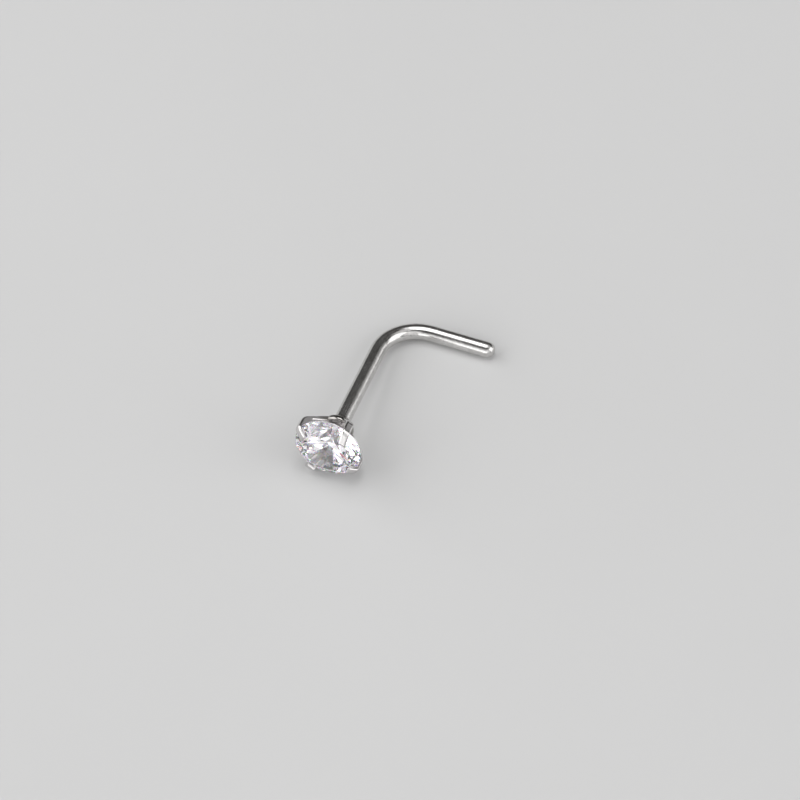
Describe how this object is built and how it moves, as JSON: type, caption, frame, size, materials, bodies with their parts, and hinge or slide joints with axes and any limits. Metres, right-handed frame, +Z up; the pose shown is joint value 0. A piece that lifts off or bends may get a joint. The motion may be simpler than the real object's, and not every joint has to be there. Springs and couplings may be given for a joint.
{
  "type": "nose stud",
  "caption": "L-bend nose stud: round polished steel wire post with a short leg at a right angle, and a round brilliant cut clear stone in a pronged setting on its head.",
  "frame": {"origin": "middle of the stud's bounding box, on the surface that it lies on", "axes": "+X along the leg towards its free end, +Y level from the head towards the bend, +Z up from the surface that the stud lies on"},
  "size_m": [0.007, 0.0102, 0.0034],
  "materials": {
    "steel": "polished stainless steel, with fine drawing marks along the wire",
    "stone": "clear cubic zirconia, facets polished"
  },
  "bodies": {
    "root": {"post_and_setting": "steel", "stone": "stone"}
  },
  "joints": []
}
